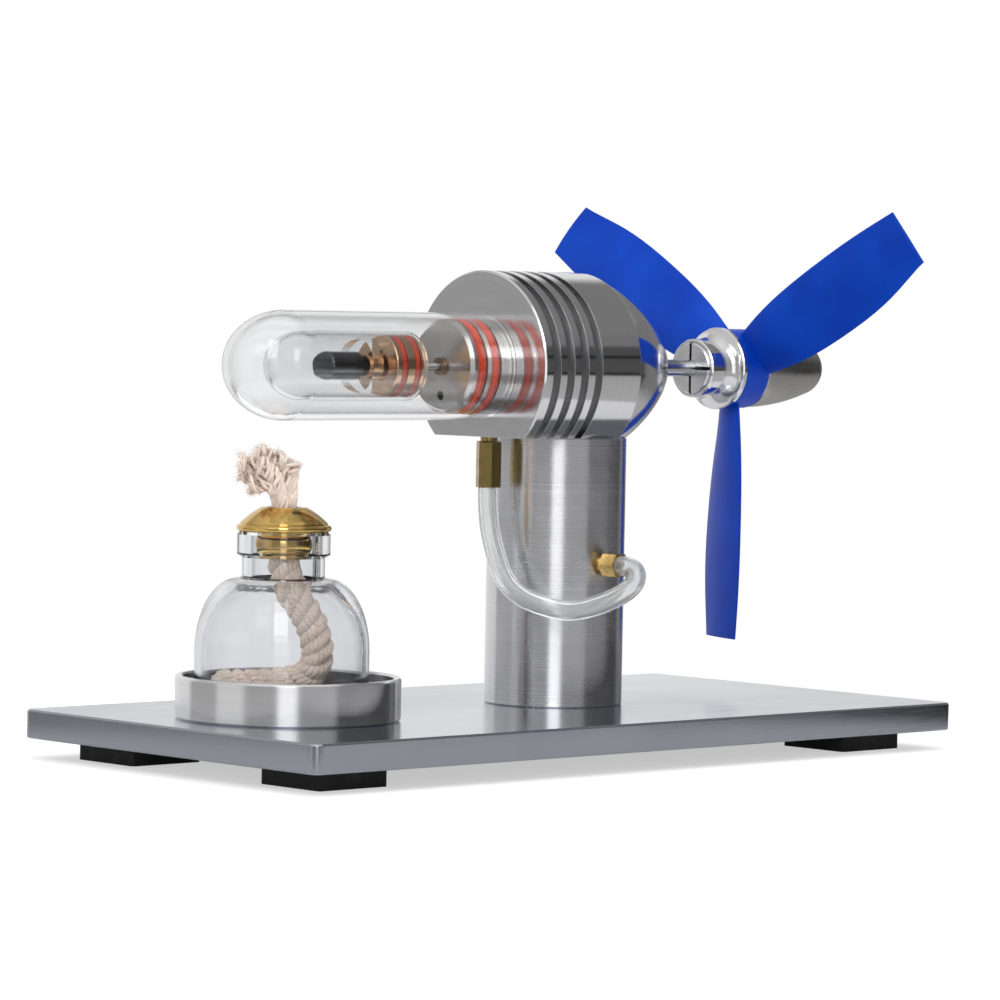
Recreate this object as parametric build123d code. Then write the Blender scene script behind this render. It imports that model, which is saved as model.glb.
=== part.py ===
"""Desk-top Stirling engine model with a three-blade propeller, one STEP file per piece.

Frame: +X runs along the engine's axis from the lamp end to the propeller, -Y is the side with the
hose, +Z is up. The origin is on the ground, under the middle of the whole model. Millimetres.
"""

import os
from math import cos, radians, sin

from build123d import *

# ---------------------------------------------------------------- driving dimensions
BASE_LENGTH = 200.0
BASE_WIDTH = 100.0
BASE_THICKNESS = 6.5
BASE_CORNER = 2.5
FOOT_LENGTH = 19.5
FOOT_WIDTH = 19.5
FOOT_HEIGHT = 4.6
FOOT_INSET = 8.9
BASE_X = -1.25  # the spinner nut reaches 2.5 past the plate, so the plate sits back by half of that
DECK_Z = FOOT_HEIGHT + BASE_THICKNESS
AXIS_Z = DECK_Z + 78.0

TRAY_X = BASE_X - 64.9
TRAY_RADIUS = 25.0
TRAY_HEIGHT = 9.5
TRAY_WALL = 1.6
TRAY_FLOOR = 1.5
LAMP_X = TRAY_X - 2.0
BOTTLE_RADIUS = 19.3
BOTTLE_WALL = 1.5
NECK_RADIUS = 9.15
NECK_BORE = 7.0
LIP_RADIUS = 10.3
SHOULDER_Z = DECK_Z + 15.0
NECK_Z = DECK_Z + 31.0
LIP_Z = DECK_Z + 36.0
LIP_TOP_Z = DECK_Z + 41.4
CAP_RADIUS = 10.5
CAP_TOP_Z = DECK_Z + 46.8
CAP_RIM_HEIGHT = 1.6
CAP_PLUG_RADIUS = 6.3
CAP_PLUG_NECK = 5.0
WICK_RADIUS = 3.8
WICK_TOP_Z = DECK_Z + 61.5
LAMP_TURN = 43.25  # degrees from +X towards -Y: the way the wick lies on the bottle's floor

COLUMN_X = BASE_X + 16.2
COLUMN_RADIUS = 16.0
FLAT_DROP = 16.0  # from the engine's axis down to the body's flat underside
FLAT_Z = AXIS_Z - FLAT_DROP
LINER_RADIUS = 10.0
CYLINDER_RADIUS = 8.0
CYLINDER_FLOOR_Z = DECK_Z + 30.8
PORT_Z = DECK_Z + 33.0
PISTON_CLEARANCE = 0.03
PISTON_LENGTH = 14.0
PISTON_WALL = 1.1
PISTON_CROWN = 2.0
CRANK_THROW = 3.5
CONROD_LENGTH = 27.5
PIVOT_CLEARANCE = 0.05

BODY_FRONT_X = BASE_X - 9.0
BODY_REAR_X = BASE_X + 21.2
BODY_RADIUS = 22.0
CONE_END_X = BASE_X + 42.3
CONE_END_RADIUS = 9.8
CONE_BULGE = 1.1
GROOVE_COUNT = 4
GROOVE_FIRST = 2.5  # from the front face to the first groove
GROOVE_PITCH = 4.4
GROOVE_WIDTH = 2.3
GROOVE_DEPTH = 3.0
CRANKCASE_RADIUS = 13.0
CRANKCASE_DEPTH = 13.2
REGISTER_RADIUS = 15.5  # the step that centres the rear housing in the body
REGISTER_LENGTH = 2.0
SPIGOT_RADIUS = 4.5  # the nose's step into the body
SPIGOT_LENGTH = 6.0
GAS_PORT_RADIUS = 1.1

CAP_TUBE_RADIUS = 12.2
CAP_TUBE_BORE = 10.9
CAP_TUBE_TIP_X = BASE_X - 82.3
CAP_TUBE_END_LENGTH = 14.4  # the closed end is half an ellipsoid of this length
NOSE_X = BASE_X - 21.5
NOSE_RADIUS = 10.6
NOSE_RING_SECTION = 1.3
NOSE_RING_XS = (BASE_X - 18.2, BASE_X - 14.0)
GAS_PORT_DROP = 6.6
ROD_RADIUS = 1.0
ROD_FIT = 0.04
DISPLACER_RADIUS = 7.85
DISPLACER_BORE = 7.0
DISPLACER_TIP_X = BASE_X - 71.5
DISPLACER_END_X = BASE_X - 32.6
PLUG_X = BASE_X - 41.0
DISPLACER_RING_SECTION = 0.8
DISPLACER_RING_XS = (BASE_X - 38.6, BASE_X - 34.7)
ROD_TIP_X = BASE_X - 54.0
WEIGHT_X = BASE_X - 56.7
WEIGHT_RADIUS = 3.2
WASHER_X = BASE_X - 47.6
WASHER_WIDTH = 3.0
WASHER_RADIUS = 6.1
BUSH_RADIUS = 2.0
BUSH_LENGTH = 10.0

SHAFT_RADIUS = 2.0
BEARING_RADIUS = 5.0
BEARING_WIDTH = 4.0
FRONT_BEARING_X = BASE_X + 23.5
REAR_BEARING_X = BASE_X + 36.0
BEARING_OUTER_BORE = 4.2
BEARING_INNER_RADIUS = 2.8
BALL_CIRCLE = 3.5
BALL_RADIUS = 0.93
BALL_COUNT = 7
COLLET_X = BASE_X + 59.6
BACKPLATE_X = BASE_X + 60.2
HUB_X = BASE_X + 69.2
HUB_END_X = BASE_X + 77.6
HUB_RADIUS = 9.5
NUT_END_X = BASE_X + 102.5
BLADE_COUNT = 3
BLADE_RADIUS = 65.0
BLADE_PHASE = 35.6  # degrees, of the first blade above +Y
BLADE_SHIFT = 1.2  # the blades sit this far behind the hub's middle
STEM_RADIUS = 3.0
STEM_LENGTH = 15.0  # of the collet's threaded stem beyond the hub

FITTING_HEX = 5.2  # across flats
FITTING_BORE = 0.9
FITTING_NECK = 2.0
FITTING_THREAD = 1.6
FITTING_THREAD_LENGTH = 3.9
UPPER_FITTING_X = BASE_X - 5.6
UPPER_FITTING_END_Z = DECK_Z + 50.4
LOWER_FITTING_END_Y = -21.5
HOSE_RADIUS = 2.3
HOSE_BORE = 1.4

# The hose's route, from the lower fitting's face round the column to the upper fitting's face.
HOSE_ROUTE = [
    (COLUMN_X, LOWER_FITTING_END_Y, PORT_Z),
    (COLUMN_X, -27.1, PORT_Z),
    (COLUMN_X - 6.2, -32.3, PORT_Z - 4.6),
    (COLUMN_X - 13.6, -26.2, PORT_Z - 9.2),
    (COLUMN_X - 17.2, -19.4, PORT_Z - 10.3),
    (COLUMN_X - 23.2, -8.5, PORT_Z - 6.1),
    (COLUMN_X - 22.2, -2.0, PORT_Z + 5.0),
    (UPPER_FITTING_X, 0.0, UPPER_FITTING_END_Z - 5.2),
    (UPPER_FITTING_X, 0.0, UPPER_FITTING_END_Z),
]

# The wick inside the bottle: distance along the lamp's turned direction, across it, and height.
WICK_ROUTE = [
    (0.0, 0.0, 36.0),
    (0.0, 0.0, 31.0),
    (7.0, -0.8, 22.0),
    (8.6, -0.5, 10.0),
    (-3.4, 0.8, 7.0),
    (-14.8, 1.6, 7.1),
]


# ---------------------------------------------------------------- helpers
def along_x(x0, x1, radius, y=0.0, z=AXIS_Z):
    """A cylinder along +X from x0 to x1."""
    plane = Plane(origin=(x0, y, z), x_dir=(0, 1, 0), z_dir=(1, 0, 0))
    return plane * Cylinder(radius, x1 - x0, align=(Align.CENTER, Align.CENTER, Align.MIN))


def along_y(y0, y1, radius, x, z):
    """A cylinder along +Y from y0 to y1."""
    plane = Plane(origin=(x, y0, z), x_dir=(1, 0, 0), z_dir=(0, 1, 0))
    return plane * Cylinder(radius, y1 - y0, align=(Align.CENTER, Align.CENTER, Align.MIN))


def along_z(z0, z1, radius, x=0.0, y=0.0):
    """A cylinder along +Z from z0 to z1."""
    return Pos(x, y, z0) * Cylinder(radius, z1 - z0, align=(Align.CENTER, Align.CENTER, Align.MIN))


def turned_x(edges, z=AXIS_Z):
    """Turn an outline, drawn as (x, radius), about the line along X at height z."""
    plane = Plane(origin=(0, 0, z), x_dir=(1, 0, 0), z_dir=(0, -1, 0))
    return revolve(plane * make_face(edges), Axis((0, 0, z), (1, 0, 0)))


def turned_z(edges, x, y=0.0):
    """Turn an outline, drawn as (radius, z), about the upright line at x, y."""
    plane = Plane(origin=(x, y, 0), x_dir=(1, 0, 0), z_dir=(0, -1, 0))
    return revolve(plane * make_face(edges), Axis((x, y, 0), (0, 0, 1)))


def closed(*points):
    return Polyline(*points, close=True).edges()


def ring_x(x, major, section):
    plane = Plane(origin=(x, 0, AXIS_Z), x_dir=(0, 1, 0), z_dir=(1, 0, 0))
    return plane * Torus(major, section)


def ring_cut_x(x0, x1, outer, inner):
    return along_x(x0, x1, outer) - along_x(x0, x1, inner)


def group(solids):
    return Compound(children=list(solids))


def lamp_point(along, across, height):
    """A point in the lamp, from its own turned directions."""
    turn = radians(LAMP_TURN)
    x = LAMP_X + along * cos(turn) + across * sin(turn)
    y = -along * sin(turn) + across * cos(turn)
    return (x, y, DECK_Z + height)


def route_radii(name, route, diameter):
    """The arc at each corner of a route: 0.45 of its shorter run over the tangent of half its turn."""
    points = [Vector(*p) for p in route]
    radii = []
    for before, corner, after in zip(points, points[1:], points[2:]):
        run_in = corner - before
        run_out = after - corner
        half_turn = radians(run_in.get_angle(run_out)) / 2
        radii.append(0.45 * min(run_in.length, run_out.length) * cos(half_turn) / sin(half_turn))
    print(name, "radii in diameters:", [round(r / diameter, 2) for r in radii])
    return radii


def tube_on(name, route, radius, bore=0.0):
    """A tube along straight runs joined by tangent arcs."""
    path = FilletPolyline(*route, radius=route_radii(name, route, 2 * radius))
    start = Plane(origin=path @ 0, z_dir=path % 0)
    solid = sweep(start * Circle(radius), path=path)
    ratio = solid.volume / (Circle(radius).area * path.length)
    print(name, "length", round(path.length, 2), "volume ratio", round(ratio, 4))
    if bore:
        solid -= sweep(start * Circle(bore), path=path)
    return solid


# ---------------------------------------------------------------- base, feet, tray
def base_plate():
    plate = Pos(BASE_X, 0, FOOT_HEIGHT) * Box(
        BASE_LENGTH, BASE_WIDTH, BASE_THICKNESS, align=(Align.CENTER, Align.CENTER, Align.MIN)
    )
    plate = fillet(plate.edges().filter_by(Axis.Z), BASE_CORNER)
    plate = chamfer(plate.faces().sort_by(Axis.Z)[-1].edges(), 0.4)
    plate = chamfer(plate.faces().sort_by(Axis.Z)[0].edges(), 0.3)
    plate -= along_z(FOOT_HEIGHT, DECK_Z, 2.55, COLUMN_X)
    plate -= along_z(FOOT_HEIGHT, FOOT_HEIGHT + 3.2, 4.8, COLUMN_X)
    plate -= along_z(DECK_Z - 5.0, DECK_Z, 1.5, TRAY_X)
    return plate


def rubber_feet():
    dx = BASE_LENGTH / 2 - FOOT_INSET - FOOT_LENGTH / 2
    dy = BASE_WIDTH / 2 - FOOT_INSET - FOOT_WIDTH / 2
    foot = Box(FOOT_LENGTH, FOOT_WIDTH, FOOT_HEIGHT, align=(Align.CENTER, Align.CENTER, Align.MIN))
    foot = fillet(foot.edges().filter_by(Axis.Z), 1.0)
    return group(Pos(BASE_X + sx * dx, sy * dy, 0) * foot for sx in (-1, 1) for sy in (-1, 1))


def lamp_tray():
    inner = TRAY_RADIUS - TRAY_WALL
    top = DECK_Z + TRAY_HEIGHT
    floor = DECK_Z + TRAY_FLOOR
    tray = turned_z(
        closed(
            (0, DECK_Z),
            (TRAY_RADIUS - 0.5, DECK_Z),
            (TRAY_RADIUS, DECK_Z + 0.5),
            (TRAY_RADIUS, top - 0.4),
            (TRAY_RADIUS - 0.4, top),
            (inner + 0.4, top),
            (inner, top - 0.4),
            (inner, floor + 0.8),
            (inner - 0.8, floor),
            (0, floor),
        ),
        TRAY_X,
    )
    tray -= along_z(DECK_Z, floor, 1.6, TRAY_X)
    return tray - Pos(TRAY_X, 0, floor - 1.3) * Cone(1.6, 3.0, 1.3, align=(Align.CENTER, Align.CENTER, Align.MIN))


def tray_screw():
    floor = DECK_Z + TRAY_FLOOR
    head = Pos(TRAY_X, 0, floor - 1.3) * Cone(1.5, 2.85, 1.2, align=(Align.CENTER, Align.CENTER, Align.MIN))
    screw = head + along_z(DECK_Z - 4.8, floor - 1.3, 1.48, TRAY_X)
    slot = Pos(TRAY_X, 0, floor - 0.4) * Box(6.0, 0.6, 0.6)
    return screw - slot


# ---------------------------------------------------------------- lamp
def lamp_bottle():
    foot = DECK_Z + TRAY_FLOOR + 0.02
    shoulder_rise = NECK_Z - SHOULDER_Z
    shoulder_in = BOTTLE_RADIUS - LIP_RADIUS
    outer = [
        Line((0, foot), (BOTTLE_RADIUS - 2.0, foot)),
        RadiusArc((BOTTLE_RADIUS - 2.0, foot), (BOTTLE_RADIUS, foot + 2.0), -2.0),
        Line((BOTTLE_RADIUS, foot + 2.0), (BOTTLE_RADIUS, SHOULDER_Z)),
        EllipticalCenterArc((LIP_RADIUS, SHOULDER_Z), shoulder_in, shoulder_rise, 0, arc_size=90),
        Line((LIP_RADIUS, NECK_Z), (NECK_RADIUS, NECK_Z + 0.4)),
        Line((NECK_RADIUS, NECK_Z + 0.4), (NECK_RADIUS, LIP_Z - 0.3)),
        Line((NECK_RADIUS, LIP_Z - 0.3), (LIP_RADIUS, LIP_Z + 0.4)),
        Line((LIP_RADIUS, LIP_Z + 0.4), (LIP_RADIUS, LIP_TOP_Z - 0.6)),
        Line((LIP_RADIUS, LIP_TOP_Z - 0.6), (LIP_RADIUS - 0.6, LIP_TOP_Z)),
        Line((LIP_RADIUS - 0.6, LIP_TOP_Z), (NECK_BORE, LIP_TOP_Z)),
    ]
    inside = BOTTLE_RADIUS - BOTTLE_WALL
    floor = foot + BOTTLE_WALL
    inner_rise = shoulder_rise - 1.0
    inner = [
        Line((NECK_BORE, LIP_TOP_Z), (NECK_BORE, SHOULDER_Z + inner_rise)),
        EllipticalCenterArc((NECK_BORE, SHOULDER_Z), inside - NECK_BORE, inner_rise, 0, arc_size=90),
        Line((inside, SHOULDER_Z), (inside, floor + 1.5)),
        RadiusArc((inside, floor + 1.5), (inside - 1.5, floor), 1.5),
        Line((inside - 1.5, floor), (0, floor)),
        Line((0, floor), (0, foot)),
    ]
    return turned_z(outer + inner, LAMP_X)


def lamp_cap():
    """Pressed cap: a dome over a rolled rim, with a rounded plug that sits in the bottle's neck."""
    rim = CAP_RADIUS - CAP_RIM_HEIGHT / 2
    rim_top = LIP_TOP_Z + CAP_RIM_HEIGHT
    plug_middle = (LIP_Z + LIP_TOP_Z) / 2
    dome = (CAP_RADIUS - 3.1, CAP_TOP_Z - 1.5)
    edges = [
        Line((WICK_RADIUS, LIP_Z), (CAP_PLUG_NECK, LIP_Z)),
        ThreePointArc((CAP_PLUG_NECK, LIP_Z), (CAP_PLUG_RADIUS, plug_middle), (CAP_PLUG_NECK, LIP_TOP_Z)),
        Line((CAP_PLUG_NECK, LIP_TOP_Z), (rim, LIP_TOP_Z)),
        ThreePointArc((rim, LIP_TOP_Z), (CAP_RADIUS, LIP_TOP_Z + CAP_RIM_HEIGHT / 2), (rim, rim_top)),
        Line((rim, rim_top), (rim, rim_top + 0.3)),
        ThreePointArc((rim, rim_top + 0.3), dome, (WICK_RADIUS + 1.2, CAP_TOP_Z)),
        Line((WICK_RADIUS + 1.2, CAP_TOP_Z), (WICK_RADIUS, CAP_TOP_Z)),
        Line((WICK_RADIUS, CAP_TOP_Z), (WICK_RADIUS, LIP_Z)),
    ]
    return turned_z(edges, LAMP_X)


def wick_head():
    """The wick through the cap and its frayed tuft, which leans towards the glass tube's closed end."""
    levels = [
        (0.0, CAP_TOP_Z - DECK_Z, WICK_RADIUS),
        (-0.8, 50.5, 4.6),
        (-3.0, 54.5, 6.8),
        (-4.2, 58.5, 6.6),
        (-4.0, (WICK_TOP_Z - DECK_Z), 3.6),
    ]
    sections = [Plane(origin=lamp_point(s, 0, h)) * Circle(r) for s, h, r in levels]
    return along_z(LIP_Z, CAP_TOP_Z, WICK_RADIUS, LAMP_X) + loft(sections)


def wick_tail():
    return tube_on("wick_tail", [lamp_point(*p) for p in WICK_ROUTE], WICK_RADIUS)


# ---------------------------------------------------------------- column and power cylinder
def column():
    body = along_z(DECK_Z, FLAT_Z, COLUMN_RADIUS, COLUMN_X)
    body = chamfer(body.edges().filter_by(GeomType.CIRCLE), 0.3)
    body -= along_z(CYLINDER_FLOOR_Z, FLAT_Z, LINER_RADIUS, COLUMN_X)
    body -= along_z(DECK_Z, DECK_Z + 12.0, 2.0, COLUMN_X)
    thread_end = -COLUMN_RADIUS + FITTING_THREAD_LENGTH + 0.1
    body -= along_y(-COLUMN_RADIUS, thread_end, FITTING_THREAD, COLUMN_X, PORT_Z)
    return body - along_y(-COLUMN_RADIUS, 0, FITTING_BORE, COLUMN_X, PORT_Z)


def column_screw():
    head = along_z(FOOT_HEIGHT + 0.2, FOOT_HEIGHT + 3.2, 4.4, COLUMN_X)
    socket = Pos(COLUMN_X, 0, FOOT_HEIGHT + 0.2) * extrude(RegularPolygon(2.3, 6), 2.0)
    return head + along_z(FOOT_HEIGHT + 3.2, DECK_Z, 2.45, COLUMN_X) + along_z(
        DECK_Z, DECK_Z + 11.0, 2.0, COLUMN_X
    ) - socket


def power_cylinder_liner():
    liner = along_z(CYLINDER_FLOOR_Z, FLAT_Z, LINER_RADIUS, COLUMN_X)
    liner -= along_z(CYLINDER_FLOOR_Z, FLAT_Z, CYLINDER_RADIUS, COLUMN_X)
    return liner - along_y(-LINER_RADIUS - 1.0, 0, FITTING_BORE, COLUMN_X, PORT_Z)


PISTON_BOTTOM_Z = PORT_Z + 2.0
WRIST_Z = AXIS_Z - CRANK_THROW - CONROD_LENGTH
CRANK_PIN_Z = AXIS_Z - CRANK_THROW


def power_piston():
    radius = CYLINDER_RADIUS - PISTON_CLEARANCE
    piston = along_z(PISTON_BOTTOM_Z, PISTON_BOTTOM_Z + PISTON_LENGTH, radius, COLUMN_X)
    piston = chamfer(piston.edges().filter_by(GeomType.CIRCLE), 0.3)
    hollow_z = PISTON_BOTTOM_Z + PISTON_CROWN
    return piston - along_z(hollow_z, hollow_z + PISTON_LENGTH, radius - PISTON_WALL, COLUMN_X)


def connecting_rod():
    half = 2.0
    big = along_x(COLUMN_X - half, COLUMN_X + half, 3.2, z=CRANK_PIN_Z)
    small = along_x(COLUMN_X - half, COLUMN_X + half, 2.2, z=WRIST_Z)
    shank = Pos(COLUMN_X, 0, WRIST_Z) * Box(
        2 * half - 1.6, 2.6, CONROD_LENGTH, align=(Align.CENTER, Align.CENTER, Align.MIN)
    )
    rod = big + small + shank
    rod -= along_x(COLUMN_X - half, COLUMN_X + half, 1.25 + PIVOT_CLEARANCE, z=CRANK_PIN_Z)
    return rod - along_x(COLUMN_X - half, COLUMN_X + half, 1.0, z=WRIST_Z)


def wrist_pin():
    return along_x(COLUMN_X - 4.4, COLUMN_X + 4.4, 1.0, z=WRIST_Z)


# ---------------------------------------------------------------- crankshaft
DISC_X = COLUMN_X + 2.4
DISC_END_X = DISC_X + 2.5


def crank_disc():
    disc = along_x(DISC_X, DISC_END_X, 6.5)
    disc = chamfer(disc.edges().filter_by(GeomType.CIRCLE), 0.3)
    disc += along_x(DISC_END_X, FRONT_BEARING_X, 2.9)
    disc -= along_x(DISC_X, FRONT_BEARING_X, SHAFT_RADIUS)
    return disc - along_x(DISC_X, DISC_END_X, 1.25, z=CRANK_PIN_Z)


def crank_pin():
    pin = along_x(COLUMN_X - 2.8, DISC_END_X, 1.25, z=CRANK_PIN_Z)
    return pin + along_x(COLUMN_X - 3.4, COLUMN_X - 2.4, 2.1, z=CRANK_PIN_Z)


def prop_shaft():
    shaft = along_x(DISC_X, COLLET_X + 12.0, SHAFT_RADIUS)
    return chamfer(shaft.edges().filter_by(GeomType.CIRCLE), 0.25)


def bearing_outer_ring(x0):
    ring = ring_cut_x(x0, x0 + BEARING_WIDTH, BEARING_RADIUS, BEARING_OUTER_BORE)
    return ring - ring_x(x0 + BEARING_WIDTH / 2, BALL_CIRCLE, BALL_RADIUS + 0.02)


def bearing_inner_ring(x0):
    ring = ring_cut_x(x0, x0 + BEARING_WIDTH, BEARING_INNER_RADIUS, SHAFT_RADIUS)
    return ring - ring_x(x0 + BEARING_WIDTH / 2, BALL_CIRCLE, BALL_RADIUS + 0.05)


def bearing_balls(x0):
    balls = []
    for i in range(BALL_COUNT):
        turn = radians(360 / BALL_COUNT * i)
        y = BALL_CIRCLE * cos(turn)
        z = AXIS_Z + BALL_CIRCLE * sin(turn)
        balls.append(Pos(x0 + BEARING_WIDTH / 2, y, z) * Sphere(BALL_RADIUS))
    return group(balls)


def bearing_spacer():
    return ring_cut_x(FRONT_BEARING_X + BEARING_WIDTH, REAR_BEARING_X, 2.7, SHAFT_RADIUS)


# ---------------------------------------------------------------- body
def finned_body():
    body = along_x(BODY_FRONT_X, BODY_REAR_X, BODY_RADIUS)
    body = chamfer(body.faces().sort_by(Axis.X)[0].edges(), 0.35)
    for i in range(GROOVE_COUNT):
        x0 = BODY_FRONT_X + GROOVE_FIRST + GROOVE_PITCH * i
        body -= ring_cut_x(x0, x0 + GROOVE_WIDTH, BODY_RADIUS + 1, BODY_RADIUS - GROOVE_DEPTH)
    below_flat = Pos((BODY_FRONT_X + BODY_REAR_X) / 2, 0, FLAT_Z) * Box(
        80, 60, 20, align=(Align.CENTER, Align.CENTER, Align.MAX)
    )
    body -= below_flat
    body += along_x(BODY_REAR_X, BODY_REAR_X + REGISTER_LENGTH, REGISTER_RADIUS)
    cavity_x = BODY_REAR_X - CRANKCASE_DEPTH
    body -= along_x(cavity_x, BODY_REAR_X + REGISTER_LENGTH, CRANKCASE_RADIUS)
    body -= along_z(FLAT_Z, AXIS_Z, 7.6, COLUMN_X)
    body -= along_x(BODY_FRONT_X, cavity_x, ROD_RADIUS + 0.6)
    body -= along_x(BODY_FRONT_X, BODY_FRONT_X + SPIGOT_LENGTH, SPIGOT_RADIUS)
    port_z = AXIS_Z - GAS_PORT_DROP
    body -= along_x(BODY_FRONT_X, UPPER_FITTING_X, GAS_PORT_RADIUS, z=port_z)
    body -= along_z(FLAT_Z, port_z, FITTING_BORE, UPPER_FITTING_X)
    return body - along_z(FLAT_Z, FLAT_Z + FITTING_THREAD_LENGTH + 0.1, FITTING_THREAD, UPPER_FITTING_X)


def rear_housing():
    """Bowed cone that carries the two shaft bearings, cut by the same flat as the body."""
    middle = ((BODY_REAR_X + CONE_END_X) / 2 + CONE_BULGE * 0.5, (BODY_RADIUS + CONE_END_RADIUS) / 2 + CONE_BULGE)
    edges = [
        Line((BODY_REAR_X, 0), (BODY_REAR_X, BODY_RADIUS)),
        ThreePointArc((BODY_REAR_X, BODY_RADIUS), middle, (CONE_END_X, CONE_END_RADIUS)),
        Line((CONE_END_X, CONE_END_RADIUS), (CONE_END_X, 0)),
        Line((CONE_END_X, 0), (BODY_REAR_X, 0)),
    ]
    housing = turned_x(edges)
    housing -= Pos(CONE_END_X, 0, FLAT_Z) * Box(80, 60, 20, align=(Align.CENTER, Align.CENTER, Align.MAX))
    housing -= along_x(BODY_REAR_X, BODY_REAR_X + REGISTER_LENGTH, REGISTER_RADIUS)
    housing -= along_x(BODY_REAR_X, REAR_BEARING_X + BEARING_WIDTH, BEARING_RADIUS)
    return housing - along_x(REAR_BEARING_X, CONE_END_X, 2.9)


def cylinder_nose():
    nose = along_x(NOSE_X, BODY_FRONT_X, NOSE_RADIUS)
    nose = chamfer(nose.faces().sort_by(Axis.X)[0].edges(), 0.8)
    for x in NOSE_RING_XS:
        nose -= ring_cut_x(x - 1.5, x + 1.5, NOSE_RADIUS + 1, CAP_TUBE_BORE - 2 * NOSE_RING_SECTION)
    nose += along_x(BODY_FRONT_X, BODY_FRONT_X + SPIGOT_LENGTH, SPIGOT_RADIUS)
    nose -= along_x(NOSE_X, NOSE_X + BUSH_LENGTH, BUSH_RADIUS)
    nose -= along_x(NOSE_X, BODY_FRONT_X + SPIGOT_LENGTH, ROD_RADIUS + 0.6)
    return nose - along_x(NOSE_X, BODY_FRONT_X, GAS_PORT_RADIUS, z=AXIS_Z - GAS_PORT_DROP)


def displacer_bush():
    return ring_cut_x(NOSE_X - 0.8, NOSE_X + BUSH_LENGTH, BUSH_RADIUS, ROD_RADIUS + ROD_FIT)


def nose_o_rings():
    return group(ring_x(x, CAP_TUBE_BORE - NOSE_RING_SECTION, NOSE_RING_SECTION) for x in NOSE_RING_XS)


def test_tube(tip_x, open_x, outer, bore, end_length):
    """A glass tube along X, closed at its left by half an ellipsoid."""
    wall = outer - bore
    outer_centre = tip_x + end_length
    inner_length = end_length - wall
    edges = [
        Line((tip_x, 0), (tip_x + wall, 0)),
        EllipticalCenterArc((outer_centre, 0), inner_length, bore, 90, arc_size=90),
        Line((outer_centre, bore), (open_x, bore)),
        Line((open_x, bore), (open_x, outer)),
        Line((open_x, outer), (outer_centre, outer)),
        EllipticalCenterArc((outer_centre, 0), end_length, outer, 90, arc_size=90),
    ]
    return turned_x(edges)


def hot_cap():
    return test_tube(CAP_TUBE_TIP_X, BODY_FRONT_X - 0.1, CAP_TUBE_RADIUS, CAP_TUBE_BORE, CAP_TUBE_END_LENGTH)


# ---------------------------------------------------------------- displacer
def displacer_glass():
    return test_tube(DISPLACER_TIP_X, DISPLACER_END_X, DISPLACER_RADIUS, DISPLACER_BORE, 8.6)


def displacer_plug():
    plug = along_x(PLUG_X, DISPLACER_END_X, DISPLACER_BORE - 0.15)
    plug = chamfer(plug.edges().filter_by(GeomType.CIRCLE), 0.25)
    for x in DISPLACER_RING_XS:
        inner = DISPLACER_BORE - 2 * DISPLACER_RING_SECTION
        plug -= ring_cut_x(x - 0.9, x + 0.9, DISPLACER_BORE + 1, inner)
    plug -= along_x(PLUG_X, PLUG_X + 3.0, 3.7)
    plug += along_x(PLUG_X - 3.6, PLUG_X + 3.0, 2.3)
    return plug - along_x(PLUG_X - 4.0, DISPLACER_END_X, ROD_RADIUS)


def displacer_o_rings():
    section = DISPLACER_RING_SECTION
    return group(ring_x(x, DISPLACER_BORE - section, section) for x in DISPLACER_RING_XS)


def displacer_rod():
    return along_x(ROD_TIP_X, BASE_X - 4.0, ROD_RADIUS)


def rod_end_weight():
    weight = along_x(WEIGHT_X, WASHER_X, WEIGHT_RADIUS)
    weight = chamfer(weight.edges().filter_by(GeomType.CIRCLE), 0.3)
    return weight - along_x(ROD_TIP_X, WASHER_X, ROD_RADIUS)


def rod_washer():
    return ring_cut_x(WASHER_X, WASHER_X + WASHER_WIDTH, WASHER_RADIUS, ROD_RADIUS)


# ---------------------------------------------------------------- propeller
def prop_collet():
    cone_x = BACKPLATE_X + 0.6
    stem_x = HUB_X - 1.2
    edges = closed(
        (COLLET_X, 0),
        (COLLET_X, 5.8),
        (COLLET_X + 0.3, 6.1),
        (cone_x, 6.1),
        (stem_x, STEM_RADIUS),
        (HUB_END_X + STEM_LENGTH, STEM_RADIUS),
        (HUB_END_X + STEM_LENGTH, 0),
    )
    collet = turned_x(edges) - along_x(COLLET_X, COLLET_X + 12.0, SHAFT_RADIUS)
    for turn in (0, 90):
        slot = Box(7.0, 14.0, 0.8, align=(Align.MIN, Align.CENTER, Align.CENTER))
        collet -= Pos(COLLET_X, 0, AXIS_Z) * Rot(turn, 0, 0) * slot
    return collet


def collet_backplate():
    cone_x = BACKPLATE_X + 0.6
    stem_x = HUB_X - 1.2
    edges = [
        Line((BACKPLATE_X, 6.15), (BACKPLATE_X, 6.7)),
        Line((BACKPLATE_X, 6.7), (BACKPLATE_X + 0.3, 7.0)),
        Line((BACKPLATE_X + 0.3, 7.0), (BACKPLATE_X + 1.2, 7.0)),
        Line((BACKPLATE_X + 1.2, 7.0), (BACKPLATE_X + 1.6, 6.6)),
        Line((BACKPLATE_X + 1.6, 6.6), (BACKPLATE_X + 5.2, 6.6)),
        ThreePointArc((BACKPLATE_X + 5.2, 6.6), (BACKPLATE_X + 6.6, 7.5), (BACKPLATE_X + 7.8, 9.5)),
        Line((BACKPLATE_X + 7.8, 9.5), (BACKPLATE_X + 8.1, 9.8)),
        Line((BACKPLATE_X + 8.1, 9.8), (HUB_X, 9.8)),
        Line((HUB_X, 9.8), (HUB_X, STEM_RADIUS + 0.05)),
        Line((HUB_X, STEM_RADIUS + 0.05), (stem_x, STEM_RADIUS + 0.05)),
        Line((stem_x, STEM_RADIUS + 0.05), (cone_x, 6.15)),
        Line((cone_x, 6.15), (BACKPLATE_X, 6.15)),
    ]
    return turned_x(edges)


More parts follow.
